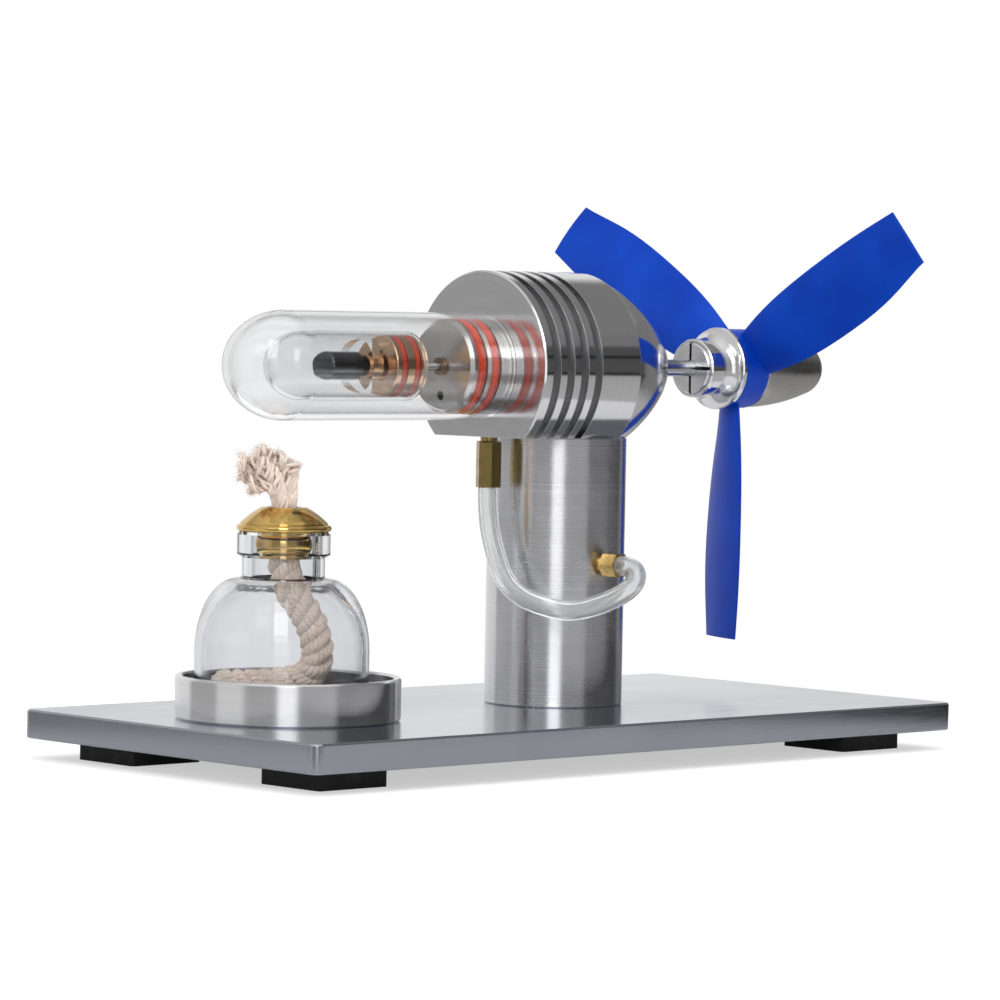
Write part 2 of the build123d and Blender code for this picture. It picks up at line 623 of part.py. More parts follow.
# Blade stations: radius, leading edge, trailing edge, pitch in degrees, thickness.
BLADE_STATIONS = [
    (5.0, -5.2, 5.2, 30, 3.4),
    (11.0, -7.0, 5.9, 27, 3.0),
    (18.0, -8.7, 6.7, 24.4, 2.5),
    (28.0, -10.3, 6.9, 21.9, 2.0),
    (40.0, -11.5, 6.2, 19.8, 1.7),
    (53.0, -12.3, 4.2, 18.1, 1.4),
    (BLADE_RADIUS, -12.5, 1.2, 17, 1.1),
]
BLADE_TIP_SLANT = -0.078
EDGE_THICKNESS = 0.4


def blade_section(radius, lead, trail, pitch, thickness, slant):
    """A lens-shaped section across a blade that points along +Z, facing -X with its leading edge."""
    turn = radians(pitch)
    half = EDGE_THICKNESS / 2
    middle = (lead + trail) / 2

    def place(chord, lift):
        x = chord * sin(turn) - lift * cos(turn)
        y = -(chord * cos(turn) + lift * sin(turn))
        return (x, y, radius - slant * chord)

    upper = ThreePointArc(place(lead, half), place(middle, thickness * 0.75), place(trail, half))
    lower = ThreePointArc(place(trail, -half), place(middle, -thickness * 0.25), place(lead, -half))
    back = Line(place(trail, half), place(trail, -half))
    front = Line(place(lead, -half), place(lead, half))
    return make_face([upper, back, lower, front])


def propeller():
    last = len(BLADE_STATIONS) - 1
    sections = [
        blade_section(*station, slant=BLADE_TIP_SLANT * i / last) for i, station in enumerate(BLADE_STATIONS)
    ]
    blade = loft(sections)
    blade_x = (HUB_X + HUB_END_X) / 2 + BLADE_SHIFT
    hub = along_x(HUB_X, HUB_END_X, HUB_RADIUS)
    hub = chamfer(hub.edges().filter_by(GeomType.CIRCLE), 0.5)
    for i in range(BLADE_COUNT):
        turn = BLADE_PHASE - 90 + 360 / BLADE_COUNT * i
        hub += Pos(blade_x, 0, AXIS_Z) * Rot(turn, 0, 0) * blade
    return hub - along_x(HUB_X - 1, HUB_END_X + 1, STEM_RADIUS + 0.05)


def spinner_nut():
    length = NUT_END_X - HUB_END_X
    edges = [
        Line((HUB_END_X, 0), (HUB_END_X, 8.9)),
        Line((HUB_END_X, 8.9), (HUB_END_X + 0.4, 9.3)),
        Line((HUB_END_X + 0.4, 9.3), (HUB_END_X + 2.2, 9.3)),
        ThreePointArc(
            (HUB_END_X + 2.2, 9.3), (HUB_END_X + length * 0.5, 8.15), (HUB_END_X + length * 0.8, 6.3)
        ),
        ThreePointArc(
            (HUB_END_X + length * 0.8, 6.3), (HUB_END_X + length * 0.93, 4.6), (NUT_END_X - 0.4, 2.6)
        ),
        Line((NUT_END_X - 0.4, 2.6), (NUT_END_X, 1.6)),
        Line((NUT_END_X, 1.6), (NUT_END_X, 0)),
        Line((NUT_END_X, 0), (HUB_END_X, 0)),
    ]
    nut = turned_x(edges) - along_x(HUB_END_X, HUB_END_X + STEM_LENGTH + 1.0, STEM_RADIUS)
    return nut - along_z(AXIS_Z - 12, AXIS_Z + 12, 1.1, HUB_END_X + length * 0.84)


# ---------------------------------------------------------------- hose and its fittings
def upper_hose_fitting():
    x = UPPER_FITTING_X
    hexagon = Pos(x, 0, UPPER_FITTING_END_Z) * extrude(
        RegularPolygon(FITTING_HEX / 2, 6, major_radius=False), FLAT_Z - 1.0 - UPPER_FITTING_END_Z
    )
    hexagon = chamfer(hexagon.faces().sort_by(Axis.Z)[-1].edges(), 0.3)
    thread_end = FLAT_Z + FITTING_THREAD_LENGTH
    fitting = hexagon + along_z(FLAT_Z - 1.0, FLAT_Z, FITTING_NECK, x)
    fitting += along_z(FLAT_Z, thread_end, FITTING_THREAD, x)
    return fitting - along_z(UPPER_FITTING_END_Z, thread_end + 0.1, FITTING_BORE, x)


def lower_hose_fitting():
    neck_y = -COLUMN_RADIUS - 0.9
    plane = Plane(origin=(COLUMN_X, LOWER_FITTING_END_Y, PORT_Z), x_dir=(1, 0, 0), z_dir=(0, 1, 0))
    hexagon = plane * extrude(
        RegularPolygon(FITTING_HEX / 2, 6, major_radius=False), neck_y - LOWER_FITTING_END_Y
    )
    hexagon = chamfer(hexagon.faces().sort_by(Axis.Y)[-1].edges(), 0.3)
    fitting = hexagon + along_y(neck_y, -COLUMN_RADIUS + 0.1, FITTING_NECK, COLUMN_X, PORT_Z)
    fitting -= along_z(PORT_Z - 20, PORT_Z + 20, COLUMN_RADIUS, COLUMN_X)
    thread_end = -COLUMN_RADIUS + FITTING_THREAD_LENGTH
    fitting += along_y(-COLUMN_RADIUS - 0.2, thread_end, FITTING_THREAD, COLUMN_X, PORT_Z)
    return fitting - along_y(LOWER_FITTING_END_Y, 0, FITTING_BORE, COLUMN_X, PORT_Z)


def hose():
    return tube_on("hose", HOSE_ROUTE, HOSE_RADIUS, HOSE_BORE)


# ---------------------------------------------------------------- write the parts
PARTS = {
    "base_plate": base_plate,
    "rubber_feet": rubber_feet,
    "lamp_tray": lamp_tray,
    "tray_screw": tray_screw,
    "lamp_bottle": lamp_bottle,
    "lamp_cap": lamp_cap,
    "wick_head": wick_head,
    "wick_tail": wick_tail,
    "column": column,
    "column_screw": column_screw,
    "power_cylinder_liner": power_cylinder_liner,
    "power_piston": power_piston,
    "connecting_rod": connecting_rod,
    "wrist_pin": wrist_pin,
    "crank_disc": crank_disc,
    "crank_pin": crank_pin,
    "prop_shaft": prop_shaft,
    "bearing_spacer": bearing_spacer,
    "finned_body": finned_body,
    "rear_housing": rear_housing,
    "cylinder_nose": cylinder_nose,
    "displacer_bush": displacer_bush,
    "nose_o_rings": nose_o_rings,
    "hot_cap": hot_cap,
    "displacer_glass": displacer_glass,
    "displacer_plug": displacer_plug,
    "displacer_o_rings": displacer_o_rings,
    "displacer_rod": displacer_rod,
    "rod_end_weight": rod_end_weight,
    "rod_washer": rod_washer,
    "prop_collet": prop_collet,
    "collet_backplate": collet_backplate,
    "propeller": propeller,
    "spinner_nut": spinner_nut,
    "upper_hose_fitting": upper_hose_fitting,
    "lower_hose_fitting": lower_hose_fitting,
    "hose": hose,
}
for end, bearing_x in (("front", FRONT_BEARING_X), ("rear", REAR_BEARING_X)):
    PARTS[f"{end}_bearing_outer_ring"] = lambda x=bearing_x: bearing_outer_ring(x)
    PARTS[f"{end}_bearing_inner_ring"] = lambda x=bearing_x: bearing_inner_ring(x)
    PARTS[f"{end}_bearing_balls"] = lambda x=bearing_x: bearing_balls(x)

os.makedirs("parts", exist_ok=True)
for node, make in PARTS.items():
    export_step(make(), f"parts/{node}.step")
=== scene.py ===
"""Looks of the desk-top Stirling engine model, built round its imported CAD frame. Metres, Z up."""

import math
import random

import bpy
from mathutils import Matrix, Vector


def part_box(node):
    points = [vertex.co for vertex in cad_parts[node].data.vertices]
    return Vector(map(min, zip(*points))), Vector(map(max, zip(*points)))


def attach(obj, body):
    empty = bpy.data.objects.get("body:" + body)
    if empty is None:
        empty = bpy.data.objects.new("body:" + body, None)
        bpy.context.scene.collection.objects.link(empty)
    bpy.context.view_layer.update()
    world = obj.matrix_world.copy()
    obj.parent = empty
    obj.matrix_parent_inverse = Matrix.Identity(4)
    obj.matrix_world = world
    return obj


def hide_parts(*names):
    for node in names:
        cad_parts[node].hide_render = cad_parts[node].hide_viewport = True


MM = 0.001
UP = Vector((0, 0, 1))
ALONG_X = Vector((1, 0, 0))

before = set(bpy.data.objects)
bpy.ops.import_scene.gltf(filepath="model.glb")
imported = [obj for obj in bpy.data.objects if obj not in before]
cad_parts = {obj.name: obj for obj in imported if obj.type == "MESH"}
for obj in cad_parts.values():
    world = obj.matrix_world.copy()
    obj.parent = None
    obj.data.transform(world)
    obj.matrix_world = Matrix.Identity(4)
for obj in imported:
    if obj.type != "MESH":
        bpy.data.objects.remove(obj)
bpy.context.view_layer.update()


# ---------------------------------------------------------------- places, from the frame
def centre(node):
    low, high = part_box(node)
    return (low + high) / 2


DECK_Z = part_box("base_plate")[1].z
PLATE_TOP = Vector((centre("base_plate").x, centre("base_plate").y, DECK_Z))
ENGINE_AXIS = centre("prop_shaft")
COLUMN_AXIS = centre("column")
LAMP_AXIS = centre("lamp_bottle")
TRAY_AXIS = centre("lamp_tray")
CAP_TOP_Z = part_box("lamp_cap")[1].z


# ---------------------------------------------------------------- camera
CAMERA_FROM_PLATE = Vector((-736.5, -781.1, 91.4)) * MM
# Angles in radians, lens in millimetres.
CAMERA_YAW = 0.816
CAMERA_PITCH = -0.041
CAMERA_ROLL = 0.019
CAMERA_LENS = 168.2


def add_camera():
    camera = bpy.data.objects.new("camera", bpy.data.cameras.new("camera"))
    camera.data.lens = CAMERA_LENS
    level = math.cos(CAMERA_PITCH)
    forward = Vector((level * math.cos(CAMERA_YAW), level * math.sin(CAMERA_YAW), math.sin(CAMERA_PITCH)))
    right = forward.cross(UP).normalized()
    up = right.cross(forward)
    rolled_right = right * math.cos(CAMERA_ROLL) + up * math.sin(CAMERA_ROLL)
    rolled_up = up * math.cos(CAMERA_ROLL) - right * math.sin(CAMERA_ROLL)
    turn = Matrix((rolled_right, rolled_up, -forward)).transposed().to_4x4()
    camera.matrix_world = Matrix.Translation(PLATE_TOP + CAMERA_FROM_PLATE) @ turn
    bpy.context.scene.collection.objects.link(camera)
    bpy.context.scene.camera = camera


add_camera()


# ---------------------------------------------------------------- routes of the cords
PORT = centre("lower_hose_fitting")
LOWER_END_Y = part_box("lower_hose_fitting")[0].y
UPPER_X = centre("upper_hose_fitting").x
UPPER_END_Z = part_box("upper_hose_fitting")[0].z
HOSE_RADIUS = 2.3 * MM
HOSE_BORE = 1.4 * MM
HOSE_DROP = 5.2 * MM
LAMP_TURN = math.radians(43.25)
WICK_RADIUS = 3.8 * MM


def hose_point(along, across, height):
    """A point of the hose, from the column's axis and the height of the port, in millimetres."""
    return Vector((COLUMN_AXIS.x + along * MM, across * MM, PORT.z + height * MM))


def lamp_point(along, across, height):
    """A point in the lamp, from its own turned directions and the height above the deck, in millimetres."""
    x = LAMP_AXIS.x + (along * math.cos(LAMP_TURN) + across * math.sin(LAMP_TURN)) * MM
    y = LAMP_AXIS.y + (across * math.cos(LAMP_TURN) - along * math.sin(LAMP_TURN)) * MM
    return Vector((x, y, DECK_Z + height * MM))


HOSE_ROUTE = [
    Vector((COLUMN_AXIS.x, LOWER_END_Y, PORT.z)),
    hose_point(0.0, -27.1, 0.0),
    hose_point(-6.2, -32.3, -4.6),
    hose_point(-13.6, -26.2, -9.2),
    hose_point(-17.2, -19.4, -10.3),
    hose_point(-23.2, -8.5, -6.1),
    hose_point(-22.2, -2.0, 5.0),
    Vector((UPPER_X, 0, UPPER_END_Z - HOSE_DROP)),
    Vector((UPPER_X, 0, UPPER_END_Z)),
]
WICK_ROUTE = [
    lamp_point(0.0, 0.0, 36.0),
    lamp_point(0.0, 0.0, 31.0),
    lamp_point(7.0, -0.8, 22.0),
    lamp_point(8.6, -0.5, 10.0),
    lamp_point(-3.4, 0.8, 7.0),
    lamp_point(-14.8, 1.6, 7.1),
]


def route_line(route, step):
    """Even points along the smooth NURBS line that has a route's points as its control points."""
    curve = bpy.data.curves.new("route", "CURVE")
    curve.dimensions = "3D"
    curve.resolution_u = 24
    spline = curve.splines.new("NURBS")
    spline.points.add(len(route) - 1)
    for place, point in zip(spline.points, route):
        place.co = (*point, 1)
    spline.order_u = 3
    spline.use_endpoint_u = True
    guide = bpy.data.objects.new("route", curve)
    mesh = bpy.data.meshes.new_from_object(guide)
    line = [vertex.co.copy() for vertex in mesh.vertices]
    bpy.data.objects.remove(guide)
    bpy.data.curves.remove(curve)
    bpy.data.meshes.remove(mesh)
    return evenly(line, step)


def evenly(line, step):
    """The same line with its points about a step apart."""
    reached = [0.0]
    for before, after in zip(line, line[1:]):
        reached.append(reached[-1] + (after - before).length)
    count = max(2, round(reached[-1] / step))
    points = []
    i = 0
    for k in range(count + 1):
        wanted = reached[-1] * k / count
        while i < len(line) - 2 and reached[i + 1] < wanted:
            i += 1
        share = (wanted - reached[i]) / (reached[i + 1] - reached[i])
        points.append(line[i].lerp(line[i + 1], min(share, 1.0)))
    return points


# ---------------------------------------------------------------- tubes, ropes and yarns
ROUNDED_RINGS = 2
END_SHARE = 0.25
ROPE_STRANDS = 3
ROPE_TWIST = 9.0 * MM
STRAND_YARNS = 5
STRAND_TWIST = -0.55 * ROPE_TWIST
FIBRE_RADIUS = 0.026 * MM
FIBRE_STEPS = 5
FIBRE_CURL = 0.5


def ring_frames(line):
    """Two directions across the line at each of its points, which turn as little as they can."""
    last = len(line) - 1
    frames = []
    side = (line[1] - line[0]).orthogonal().normalized()
    for i in range(len(line)):
        tangent = (line[min(i + 1, last)] - line[max(i - 1, 0)]).normalized()
        side = (side - tangent * side.dot(tangent)).normalized()
        frames.append((side, tangent.cross(side)))
    return frames


def helix_on(line, offset, pitch, start):
    """A line wound round another one, which starts at a share of a turn."""
    frames = ring_frames(line)
    wound = []
    reached = 0.0
    for i, point in enumerate(line):
        if i:
            reached += (point - line[i - 1]).length
        turn = math.tau * (start + reached / pitch)
        side, other = frames[i]
        wound.append(point + (side * math.cos(turn) + other * math.sin(turn)) * offset)
    return wound


class TubeMesh:
    """Gathers tubes into one mesh. Its UV map runs round each tube, and along it in millimetres."""

    def __init__(self):
        self.points = []
        self.faces = []
        self.uvs = []

    def loft(self, rings, looped=False):
        sides = len(rings[0])
        first = len(self.points)
        count = len(rings)
        for ring in rings:
            self.points.extend(ring)
        reached = 0.0
        for i in range(count if looped else count - 1):
            here = first + i * sides
            there = first + (i + 1) % count * sides
            ahead = reached + (rings[(i + 1) % count][0] - rings[i][0]).length / MM
            for k in range(sides):
                m = (k + 1) % sides
                self.faces.append((here + k, here + m, there + m, there + k))
                left, right = k / sides, (k + 1) / sides
                self.uvs.extend([(left, reached), (right, reached), (right, ahead), (left, ahead)])
            reached = ahead
        if not looped:
            end = first + (count - 1) * sides
            self.faces.append(tuple(first + k for k in reversed(range(sides))))
            self.faces.append(tuple(end + k for k in range(sides)))
            self.uvs.extend([(0.5, 0.0)] * sides + [(0.5, reached)] * sides)

    def rings(self, line, radii, sides):
        made = []
        for point, radius, (side, other) in zip(line, radii, ring_frames(line)):
            turns = [math.tau * k / sides for k in range(sides)]
            made.append([point + (side * math.cos(t) + other * math.sin(t)) * radius for t in turns])
        return made

    def yarn(self, line, radius, sides):
        """A tube that rounds off over its last few rings at each end."""
        last = len(line) - 1
        radii = []
        for i in range(len(line)):
            inset = min(min(i, last - i) / ROUNDED_RINGS, 1.0)
            radii.append(radius * (END_SHARE + (1 - END_SHARE) * math.sqrt(1 - (1 - inset) ** 2)))
        self.loft(self.rings(line, radii, sides))

    def piece(self, name, material, body):
        mesh = bpy.data.meshes.new(name)
        mesh.from_pydata([tuple(point) for point in self.points], [], self.faces)
        layer = mesh.uv_layers.new(name="UVMap")
        layer.data.foreach_set("uv", [value for uv in self.uvs for value in uv])
        mesh.shade_smooth()
        mesh.materials.append(material)
        made = bpy.data.objects.new(name, mesh)
        bpy.context.scene.collection.objects.link(made)
        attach(made, body)
        return made


def add_rope(tubes, line, radius):
    """A laid cotton rope: strands wound round the line, each of small yarns wound the other way."""
    strand_offset = radius * 0.5
    yarn_offset = radius * 0.31
    yarn_radius = radius * 0.2
    for s in range(ROPE_STRANDS):
        strand = helix_on(line, strand_offset, ROPE_TWIST, s / ROPE_STRANDS)
        for y in range(STRAND_YARNS):
            yarn = helix_on(strand, yarn_offset, STRAND_TWIST, y / STRAND_YARNS + s * 0.13)
            tubes.yarn(yarn, yarn_radius, 7)


def random_direction(rng):
    return Vector((rng.gauss(0, 1), rng.gauss(0, 1), rng.gauss(0, 1))).normalized()


def add_fibres(tubes, rng, roots, count, length):
    """Loose fibres that curl away from random points of the given lines."""
    for _ in range(count):
        line = rng.choice(roots)
        root = rng.choice(line)
        heading = random_direction(rng)
        curl = random_direction(rng) * FIBRE_CURL
        step = rng.uniform(0.5, 1.0) * length / FIBRE_STEPS
        fibre = [root]
        for _ in range(FIBRE_STEPS):
            fibre.append(fibre[-1] + heading * step)
            heading = (heading + curl).normalized()
        tubes.yarn(fibre, FIBRE_RADIUS, 3)


# ---------------------------------------------------------------- material building
class Nodes:
    """Short ways to add nodes to a tree."""

    def __init__(self, tree):
        self.tree = tree

    def put(self, socket, value):
        """Links a socket to another node's output, or sets it."""
        if isinstance(value, bpy.types.NodeSocket):
            self.tree.links.new(value, socket)
        elif socket.type == "RGBA":
            socket.default_value = (*value, 1.0)
        else:
            socket.default_value = value

    def node(self, kind, **settings):
        made = self.tree.nodes.new(kind)
        for name, value in settings.items():
            setattr(made, name, value)
        return made

    def math(self, operation, *values):
        made = self.node("ShaderNodeMath", operation=operation)
        for socket, value in zip(made.inputs, values):
            self.put(socket, value)
        return made.outputs[0]

    def vector(self, operation, *values):
        made = self.node("ShaderNodeVectorMath", operation=operation)
        for socket, value in zip(made.inputs, values):
            self.put(socket, value)
        single = operation in ("DOT_PRODUCT", "LENGTH")
        return made.outputs["Value" if single else "Vector"]


class Finish(Nodes):
    """One material, with short ways to build it. Places are in the row frame, in metres."""

    def __init__(self, name, **settings):
        self.material = bpy.data.materials.new(name)
        self.material.use_nodes = True
        super().__init__(self.material.node_tree)
        self.shader = self.tree.nodes["Principled BSDF"]
        self.place = self.node("ShaderNodeTexCoord").outputs["Object"]
        for setting, value in settings.items():
            self.set(setting, value)

    def set(self, name, value):
        """Sets or links the shader's socket; base_color stands for Base Color."""
        wanted = name.replace("_", " ").title().replace("Ior", "IOR")
        self.put(self.shader.inputs[wanted], value)

    def scaled(self, vector, factor):
        made = self.node("ShaderNodeVectorMath", operation="SCALE")
        self.put(made.inputs[0], vector)
        self.put(made.inputs["Scale"], factor)
        return made.outputs["Vector"]

    def noise(self, size, at=None, detail=3.0, roughness=0.5, stretch=None):
        """Noise with features of about that size in metres, from 0 to 1."""
        made = self.node("ShaderNodeTexNoise")
        where = self.place if at is None else at
        if stretch is not None:
            where = self.vector("MULTIPLY", where, stretch)
        self.put(made.inputs["Vector"], where)
        made.inputs["Scale"].default_value = 1 / size
        made.inputs["Detail"].default_value = detail
        made.inputs["Roughness"].default_value = roughness
        return made.outputs["Fac"]

    def noise_along(self, value, size, detail=4.0, roughness=0.6):
        """Noise that changes only with one distance."""
        made = self.node("ShaderNodeTexNoise", noise_dimensions="1D")
        self.put(made.inputs["W"], value)
        made.inputs["Scale"].default_value = 1 / size
        made.inputs["Detail"].default_value = detail
        made.inputs["Roughness"].default_value = roughness
        return made.outputs["Fac"]

    def fit(self, value, low, high, source=(0.3, 0.7)):
        """Stretches a value from a source range to low..high."""
        made = self.node("ShaderNodeMapRange")
        for socket, number in zip(made.inputs[:5], (value, *source, low, high)):
            self.put(socket, number)
        return made.outputs[0]

    def mix(self, share, first, second):
        made = self.node("ShaderNodeMix", data_type="RGBA")
        self.put(made.inputs["Factor"], share)
        self.put(made.inputs[6], first)
        self.put(made.inputs[7], second)
        return made.outputs[2]

    def bump(self, height, distance, normal=None, strength=1.0):
        made = self.node("ShaderNodeBump")
        made.inputs["Strength"].default_value = strength
        made.inputs["Distance"].default_value = distance
        self.put(made.inputs["Height"], height)
        if normal is not None:
            self.put(made.inputs["Normal"], normal)
        return made.outputs["Normal"]

    def rounded(self, radius):
        """A normal that rounds the edges, so that they catch light as worn edges do."""
        made = self.node("ShaderNodeBevel", samples=4)
        made.inputs["Radius"].default_value = radius
        return made.outputs["Normal"]


def darker(colour, factor):
    return tuple(channel * factor for channel in colour)


# ---------------------------------------------------------------- metals
TURNED_EDGE = 0.2 * MM
# Painted shade: share of the metal's colour at the floor of the body's grooves.
GROOVE_PAINTED_SHADE = 0.45
GROOVE_ROUGHNESS = 0.22
BRUSHED_EDGE = 0.25 * MM
BRUSHED_DEPTH = 0.004 * MM


def turned(name, axis_point, axis, colour, rough, rings=0.25 * MM, depth=0.006 * MM, spread=0.6, grooves=()):
    """Lathe-turned metal: fine rings round its axis, and a highlight that spreads across them.

    Grooves are dull, and painted darker towards their floor as shade. They are given by where they start
    along the axis, then by the radius of their floor and of their rim.
    """
    f = Finish(name, metallic=1.0, anisotropic=spread, anisotropic_rotation=0.25)
    offset = f.vector("SUBTRACT", f.place, axis_point)
    height = f.vector("DOT_PRODUCT", offset, axis)
    outward = f.vector("SUBTRACT", offset, f.scaled(axis, height))
    across = f.math("ADD", height, f.vector("LENGTH", outward))
    fine = f.noise_along(across, rings, detail=5.0, roughness=0.75)
    broad = f.noise_along(across, rings * 9, detail=3.0)
    smudge = f.noise(7 * MM, detail=4.0, roughness=0.65)
    lines = f.math("ADD", f.fit(fine, -0.5, 0.5), f.fit(broad, -0.3, 0.3))
    tone = f.mix(f.fit(lines, 0.0, 1.0, (-0.8, 0.8)), darker(colour, 0.86), colour)
    handled = f.math("ADD", f.fit(smudge, -0.12, 0.16), f.fit(fine, -0.1, 0.14))
    finish = f.math("MULTIPLY", f.math("ADD", handled, 1.0), rough)
    if grooves:
        start, floor, rim = grooves
        painted_groove_shade_and_dullness = f.fit(f.vector("LENGTH", outward), 1.0, 0.0, (floor, rim))
        painted_groove_shade_and_dullness = f.math("MULTIPLY", painted_groove_shade_and_dullness, f.math("GREATER_THAN", height, start))
        speckle = f.fit(f.noise(0.5 * MM, detail=4.0, roughness=0.7), 0.25, 0.6)
        # Painted shade: the colour darkens towards each groove's floor, with a speckle in it.
        tone = f.mix(painted_groove_shade_and_dullness, tone, f.mix(speckle, darker(colour, GROOVE_PAINTED_SHADE), colour))
        finish = f.math("MULTIPLY_ADD", painted_groove_shade_and_dullness, GROOVE_ROUGHNESS, finish)
    f.set("base_color", tone)
    f.set("roughness", finish)
    f.set("normal", f.bump(fine, depth, f.rounded(TURNED_EDGE)))
    to_world = {"vector_type": "VECTOR", "convert_from": "OBJECT", "convert_to": "WORLD"}
    turning = f.node("ShaderNodeVectorTransform", **to_world)
    f.put(turning.inputs[0], f.vector("CROSS_PRODUCT", axis, outward))
    f.set("tangent", turning.outputs[0])
    return f.material


def brushed(name, grain, colour, rough, side=1.0):
    """Sheet or bar metal brushed along one direction; grain stretches the noise along it.

    Side is painted shade on a sheet's cut sides, as a share of its top's colour.
    """
    f = Finish(name, metallic=1.0, anisotropic=0.5)
    streaks = f.noise(0.5 * MM, detail=6.0, roughness=0.7, stretch=grain)
    broad = f.noise(6 * MM, detail=3.0, stretch=grain)
    smudge = f.noise(30 * MM, detail=5.0, roughness=0.6)
    upright = f.node("ShaderNodeSeparateXYZ")
    f.put(upright.inputs[0], f.node("ShaderNodeTexCoord").outputs["Normal"])
    # Painted shade: faces that look sideways take the colour darkened by side.
    clear_of_side_shade = f.fit(f.math("ABSOLUTE", upright.outputs[2]), 0.0, 1.0, (0.2, 0.8))
    face_with_painted_side_shade = f.mix(clear_of_side_shade, darker(colour, side), colour)
    f.set("base_color", f.mix(f.fit(streaks, 0.1, 0.0), face_with_painted_side_shade, (0.0, 0.0, 0.0)))
    change = f.math("ADD", f.fit(streaks, -0.14, 0.16), f.fit(smudge, -0.16, 0.22))
    change = f.math("ADD", change, f.fit(broad, -0.08, 0.08))
    f.set("roughness", f.math("MULTIPLY", f.math("ADD", change, 1.0), rough))
    f.set("normal", f.bump(streaks, BRUSHED_DEPTH, f.rounded(BRUSHED_EDGE)))
    return f.material


def brass(name, colour, tarnish, rough, share):
    """Machined brass with tarnish in patches and fine tool marks."""
    f = Finish(name, metallic=1.0)
    patches = f.noise(2.2 * MM, detail=5.0, roughness=0.7)
    marks = f.noise(0.18 * MM, detail=3.0, stretch=(1.0, 1.0, 6.0))
    f.set("base_color", f.mix(f.fit(patches, 0.0, share), colour, tarnish))
    f.set("roughness", f.math("MULTIPLY", f.fit(patches, 0.8, 1.35), rough))
    f.set("normal", f.bump(marks, 0.006 * MM, f.rounded(0.18 * MM)))
    return f.material


# ---------------------------------------------------------------- glass, plastics, rubber, cotton
def clear(name, tint, ior, wave, smear, rim=0.7):
    """Clear glass or plastic with a slight wave, greyer where it is seen at a slant.

    Light from lamps reaches what is inside it.
    """
    f = Finish(name, ior=ior, transmission_weight=1.0)
    slant = f.node("ShaderNodeLayerWeight")
    slant.inputs["Blend"].default_value = 0.5
    share = f.fit(slant.outputs["Facing"], 0.0, 1.0, (0.55, 0.95))
    f.set("base_color", f.mix(share, tint, darker(tint, rim)))
    flow = f.noise(9 * MM, detail=2.0)
    f.set("roughness", f.fit(f.noise(5 * MM, detail=5.0, roughness=0.7), 0.0, smear, (0.45, 0.75)))
    f.set("normal", f.bump(flow, wave))
    path = f.node("ShaderNodeLightPath")
    passing = f.node("ShaderNodeBsdfTransparent")
    f.put(passing.inputs["Color"], (0.98, 0.98, 0.98))
    both = f.node("ShaderNodeMixShader")
    f.put(both.inputs[0], path.outputs["Is Shadow Ray"])
    f.put(both.inputs[1], f.shader.outputs[0])
    f.put(both.inputs[2], passing.outputs[0])
    f.put(f.tree.nodes["Material Output"].inputs["Surface"], both.outputs[0])
    return f.material


def silicone_hose():
    f = Finish("silicone_hose", ior=1.41, transmission_weight=0.84)
    cloud = f.noise(3 * MM, detail=4.0, roughness=0.6)
    f.set("base_color", f.mix(f.fit(cloud, 0.0, 1.0), (0.90, 0.91, 0.91), (0.96, 0.97, 0.97)))
    f.set("roughness", f.fit(cloud, 0.08, 0.14))
    f.set("normal", f.bump(f.noise(0.6 * MM, detail=3.0), 0.003 * MM))
    return f.material


def seal_rubber():
    f = Finish("seal_rubber", subsurface_weight=0.25, subsurface_scale=0.6 * MM, ior=1.43)
    f.set("subsurface_radius", (1.0, 0.25, 0.12))
    mottle = f.noise(0.9 * MM, detail=4.0)
    f.set("base_color", f.mix(f.fit(mottle, 0.0, 1.0), (0.60, 0.035, 0.012), (0.80, 0.085, 0.022)))
    f.set("roughness", f.fit(mottle, 0.26, 0.4))
    f.set("normal", f.bump(f.noise(0.3 * MM, detail=2.0), 0.006 * MM))
    return f.material


def moulded_blue():
    f = Finish("moulded_blue", subsurface_weight=0.06, subsurface_scale=1.5 * MM, ior=1.25)
    f.set("subsurface_radius", (0.2, 0.4, 1.0))
    flow = f.noise(14 * MM, detail=3.0, roughness=0.45)
    f.set("base_color", f.mix(f.fit(flow, 0.0, 1.0), (0.0, 0.034, 0.35), (0.0, 0.052, 0.45)))
    satin = f.noise(0.35 * MM, detail=3.0)
    f.set("roughness", f.fit(satin, 0.34, 0.44))
    f.set("normal", f.bump(satin, 0.007 * MM, f.rounded(0.35 * MM)))
    return f.material


def foot_rubber():
    f = Finish("foot_rubber", ior=1.5)
    grain = f.noise(0.45 * MM, detail=5.0, roughness=0.7)
    dust = f.noise(4 * MM, detail=5.0, roughness=0.7)
    dusty = f.fit(dust, 0.0, 1.0, (0.5, 0.8))
    f.set("base_color", f.mix(dusty, (0.006, 0.006, 0.007), (0.022, 0.022, 0.023)))
    f.set("roughness", f.fit(grain, 0.62, 0.85))
    f.set("normal", f.bump(grain, 0.03 * MM, f.rounded(0.4 * MM)))
    return f.material


